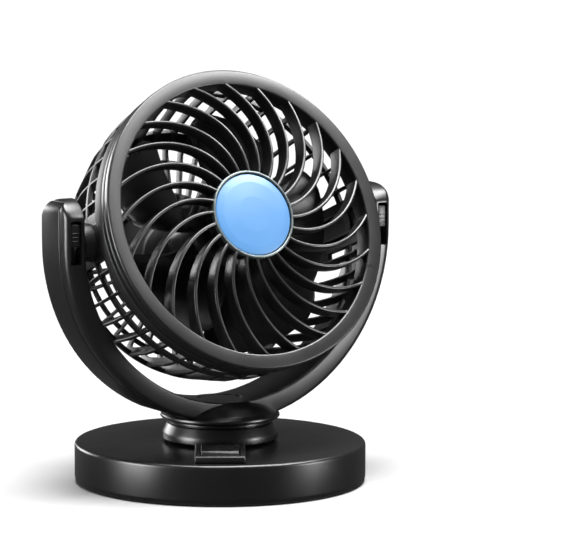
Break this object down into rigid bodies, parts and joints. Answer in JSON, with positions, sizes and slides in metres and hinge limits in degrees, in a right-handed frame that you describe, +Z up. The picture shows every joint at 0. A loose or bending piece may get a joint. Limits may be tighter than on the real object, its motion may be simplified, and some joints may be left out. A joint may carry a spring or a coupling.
{
  "type": "small desk fan",
  "caption": "Small round electric fan: a caged, tilting head in a U-shaped yoke that swivels on a weighted disc base with a rocker switch.",
  "frame": {"origin": "centre of the base's underside, on the surface that the fan stands on", "axes": "+Z up, -Y the way the fan head faces, +X along the tilt axis towards the yoke's right arm as seen by someone who faces the fan"},
  "size_m": [0.1472, 0.115, 0.1618],
  "materials": {
    "satin_black_plastic": "satin moulded plastic, faintly textured",
    "matte_black_plastic": "matt moulded plastic",
    "grille_black_plastic": "satin moulded plastic, smooth",
    "blade_black_plastic": "satin, slightly smoky moulded plastic",
    "blue_badge_plastic": "light blue, smooth satin",
    "silver_trim_plastic": "silver-grey painted ring",
    "white_label": "plain printed label stock, silver-white",
    "black_rubber": "matt",
    "zinc_steel": "zinc plated",
    "brass_fittings": "turned",
    "copper_winding": "enamelled copper",
    "circuit_board": "solder mask"
  },
  "bodies": {
    "base": {"base_shell": "satin_black_plastic", "base_bottom_plate": "matte_black_plastic", "non_slip_pad": "black_rubber", "ballast_plate": "zinc_steel", "base_screw_1": "zinc_steel", "base_screw_2": "zinc_steel", "base_screw_3": "zinc_steel", "base_screw_4": "zinc_steel", "neck_collar": "satin_black_plastic", "switch_bezel": "matte_black_plastic", "switch_body": "matte_black_plastic", "rocker_pin": "zinc_steel", "power_inlet": "matte_black_plastic", "inlet_pin": "brass_fittings", "speed_board": "circuit_board", "switch_lead": "black_rubber"},
    "rocker": {"switch_rocker": "satin_black_plastic"},
    "yoke": {"yoke_frame": "satin_black_plastic", "yoke_cover_right": "satin_black_plastic", "yoke_cover_left": "satin_black_plastic", "pivot_clip_right": "matte_black_plastic", "pivot_clip_left": "matte_black_plastic", "pivot_pin_right": "zinc_steel", "pivot_pin_left": "zinc_steel", "pivot_washer_right": "black_rubber", "pivot_washer_left": "black_rubber", "swivel_bushing": "matte_black_plastic", "swivel_spring_washer": "zinc_steel", "swivel_nut": "brass_fittings"},
    "head": {"rear_basket": "matte_black_plastic", "bezel_band": "satin_black_plastic", "front_grille": "grille_black_plastic", "hub_ring": "silver_trim_plastic", "hub_badge": "blue_badge_plastic", "motor_cover": "satin_black_plastic", "rear_label": "white_label", "motor_can": "zinc_steel", "motor_end_cap": "matte_black_plastic", "front_bearing": "brass_fittings", "rear_bearing": "brass_fittings", "motor_screw_1": "zinc_steel", "motor_screw_2": "zinc_steel"},
    "rotor": {"impeller": "blade_black_plastic", "motor_shaft": "zinc_steel", "armature": "copper_winding", "commutator": "copper_winding"}
  },
  "joints": [
    {"name": "switch_rock", "type": "hinge", "parent": "base", "child": "rocker", "pos_m": [-0.01973, -0.03364, 0.0145], "axis": [0.8625, -0.506, 0], "range_deg": [-12, 12]},
    {"name": "swivel", "type": "hinge", "parent": "base", "child": "yoke", "pos_m": [0, 0, 0.025], "axis": [0, 0, 1], "range_deg": [-180, 180]},
    {"name": "tilt", "type": "hinge", "parent": "yoke", "child": "head", "pos_m": [0, 0, 0.09765], "axis": [-1, 0, 0], "range_deg": [-66.6, 68.3]},
    {"name": "rotor_spin", "type": "hinge", "parent": "head", "child": "rotor", "pos_m": [0, 0, 0.09765], "axis": [0, 0.9295, -0.3688], "continuous": true}
  ]
}
